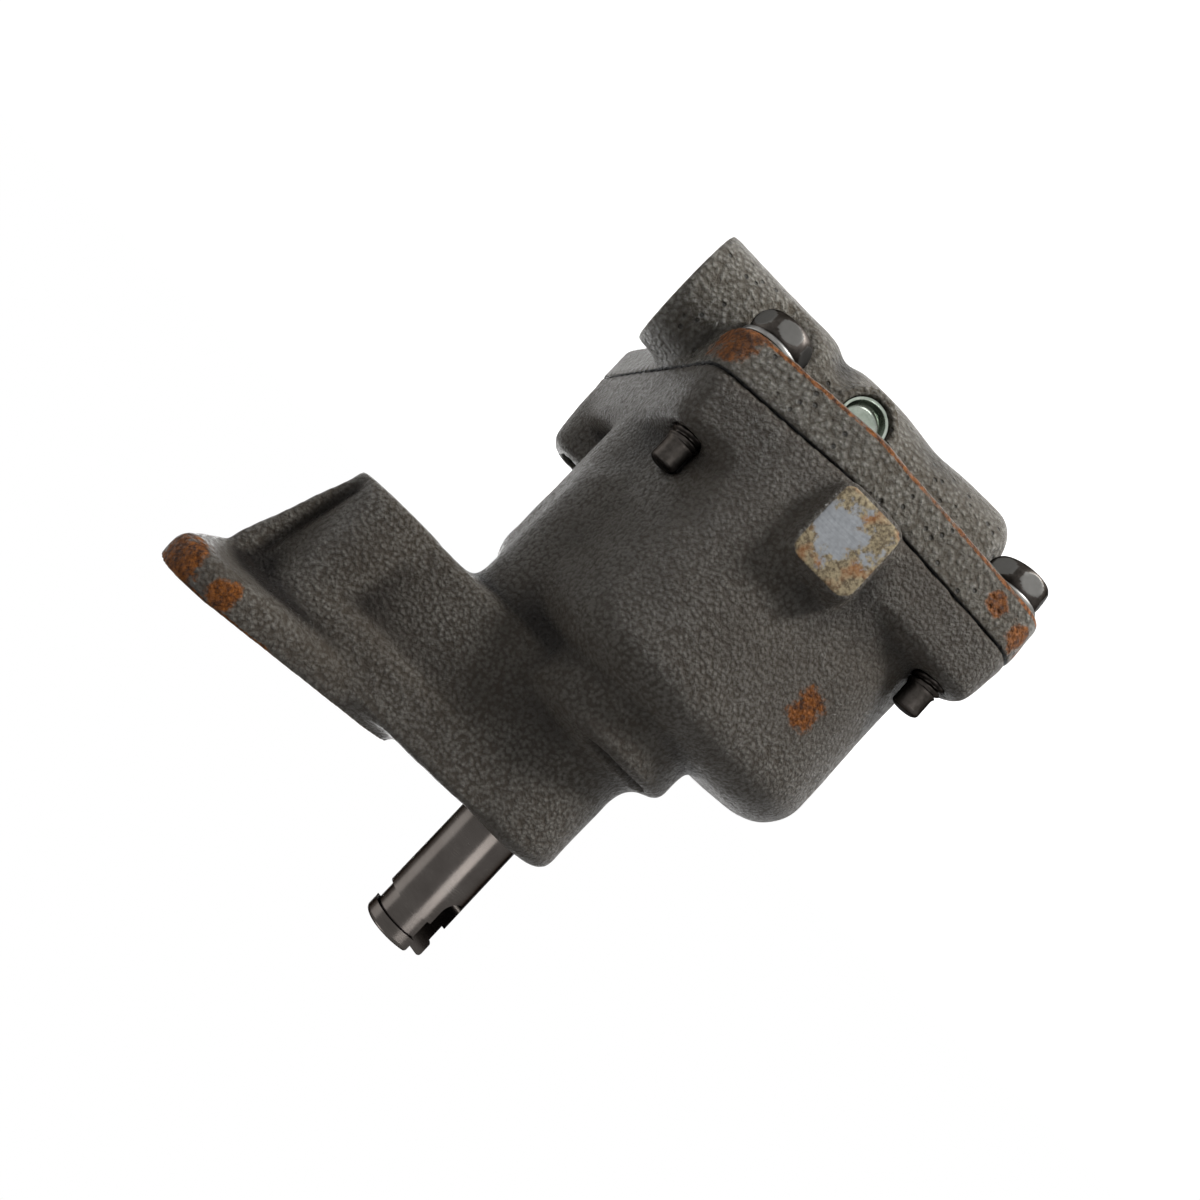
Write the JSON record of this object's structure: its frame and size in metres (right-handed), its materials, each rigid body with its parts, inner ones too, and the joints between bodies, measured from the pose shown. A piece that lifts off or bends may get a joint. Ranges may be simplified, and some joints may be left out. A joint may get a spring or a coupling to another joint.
{
  "type": "engine oil pump",
  "caption": "Gear oil pump with cast body and cover, slotted drive shaft, mounting foot with outlet, side inlet bore and spring relief valve.",
  "frame": {"origin": "on the drive shaft axis, in the plane of the mounting pad", "axes": "+Z along the drive shaft towards its slotted drive end, +X from the shaft towards the mounting bolt, -Y towards the side with the milled pad"},
  "size_m": [0.1153, 0.0795, 0.1328],
  "materials": {
    "body_iron": "sand-cast, dark, light rust",
    "cover_iron": "coarse sand-cast, light rust",
    "shaft_steel": "ground",
    "gear_steel": "cut and oiled",
    "pin_steel": "plain",
    "spring_steel": "drawn wire",
    "bolt_black": "black oxide",
    "washer_black": "black oxide",
    "plug_zinc": "zinc plated"
  },
  "bodies": {
    "housing": {"pump_body": "body_iron", "pump_cover": "cover_iron", "idler_shaft": "shaft_steel", "cover_bolt_1": "bolt_black", "cover_bolt_2": "bolt_black", "cover_bolt_3": "bolt_black", "cover_bolt_4": "bolt_black", "cover_washer_1": "washer_black", "cover_washer_2": "washer_black", "cover_washer_3": "washer_black", "cover_washer_4": "washer_black", "relief_spring": "spring_steel", "relief_spring_seat": "pin_steel", "relief_roll_pin": "pin_steel", "relief_cup_plug": "plug_zinc"},
    "drive": {"drive_shaft": "shaft_steel", "drive_gear": "gear_steel", "gear_lock_pin": "pin_steel"},
    "idler": {"idler_gear": "gear_steel"},
    "relief_valve": {"relief_piston": "pin_steel"}
  },
  "joints": [
    {"name": "drive_spin", "type": "hinge", "parent": "housing", "child": "drive", "pos_m": [0, 0, 0], "axis": [0, 0, 1], "continuous": true},
    {"name": "idler_spin", "type": "hinge", "parent": "housing", "child": "idler", "pos_m": [0, 0.028, -0.0665], "axis": [0, 0, 1], "continuous": true},
    {"name": "relief_slide", "type": "slide", "parent": "housing", "child": "relief_valve", "axis": [0, 1, 0], "range_m": [0, 0.006], "stiffness_N_per_m": 3500, "springref_m": -0.006, "deforming": ["relief_spring"]}
  ],
  "couplings": [
    {"joint": "idler_spin", "follows": "drive_spin", "ratio": -1}
  ]
}
